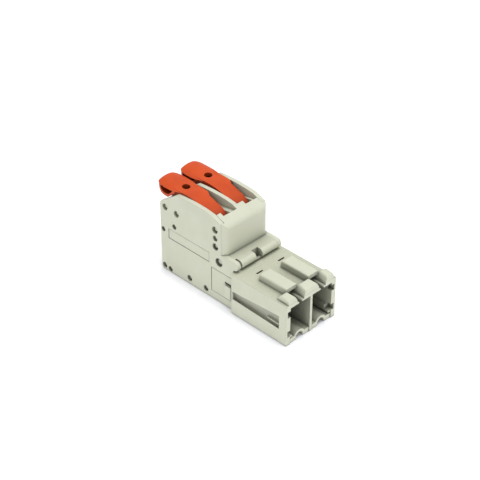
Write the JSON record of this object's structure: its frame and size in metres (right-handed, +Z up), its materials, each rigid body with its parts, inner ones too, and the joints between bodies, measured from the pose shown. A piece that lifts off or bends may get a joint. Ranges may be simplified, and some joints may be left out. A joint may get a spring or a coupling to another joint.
{
  "type": "lever wire connector",
  "caption": "Pluggable lever wire connector: grey moulded clamp housing with orange levers on top and a mating shroud with contact pins in front.",
  "frame": {"origin": "middle of the footprint, on the surface the connector rests on", "axes": "+X from the wire end towards the mating face, +Y across the poles, +Z up towards the levers"},
  "size_m": [0.047, 0.0176, 0.0262],
  "materials": {
    "housing_plastic": "fine satin moulding, light grey green",
    "lever_plastic": "satin moulding, orange",
    "spring_steel": "bright stainless strip",
    "tinned_copper": "tin-plated, satin"
  },
  "bodies": {
    "connector": {"clamp_housing": "housing_plastic", "left_side_plate": "housing_plastic", "right_side_plate": "housing_plastic", "mating_shroud": "housing_plastic", "wire_entry_left": "housing_plastic", "clamp_spring_left": "spring_steel", "current_bar_left": "tinned_copper", "contact_pin_left": "tinned_copper", "wire_entry_right": "housing_plastic", "clamp_spring_right": "spring_steel", "current_bar_right": "tinned_copper", "contact_pin_right": "tinned_copper"},
    "lever_left": {"lever_left": "lever_plastic"},
    "clamp_cage_left": {"clamp_cage_left": "spring_steel"},
    "lever_right": {"lever_right": "lever_plastic"},
    "clamp_cage_right": {"clamp_cage_right": "spring_steel"}
  },
  "joints": [
    {"name": "lever_left_turn", "type": "hinge", "parent": "connector", "child": "lever_left", "pos_m": [-0.0075, -0.00381, 0.019], "axis": [0, 1, 0], "range_deg": [0, 62]},
    {"name": "clamp_cage_left_slide", "type": "slide", "parent": "connector", "child": "clamp_cage_left", "axis": [0, 0, -1], "range_m": [0, 0.0026]},
    {"name": "lever_right_turn", "type": "hinge", "parent": "connector", "child": "lever_right", "pos_m": [-0.0075, 0.00381, 0.019], "axis": [0, 1, 0], "range_deg": [0, 62]},
    {"name": "clamp_cage_right_slide", "type": "slide", "parent": "connector", "child": "clamp_cage_right", "axis": [0, 0, -1], "range_m": [0, 0.0026]}
  ],
  "couplings": [
    {"joint": "clamp_cage_left_slide", "follows": "lever_left_turn", "m_per_rad": 0.0024},
    {"joint": "clamp_cage_right_slide", "follows": "lever_right_turn", "m_per_rad": 0.0024}
  ]
}
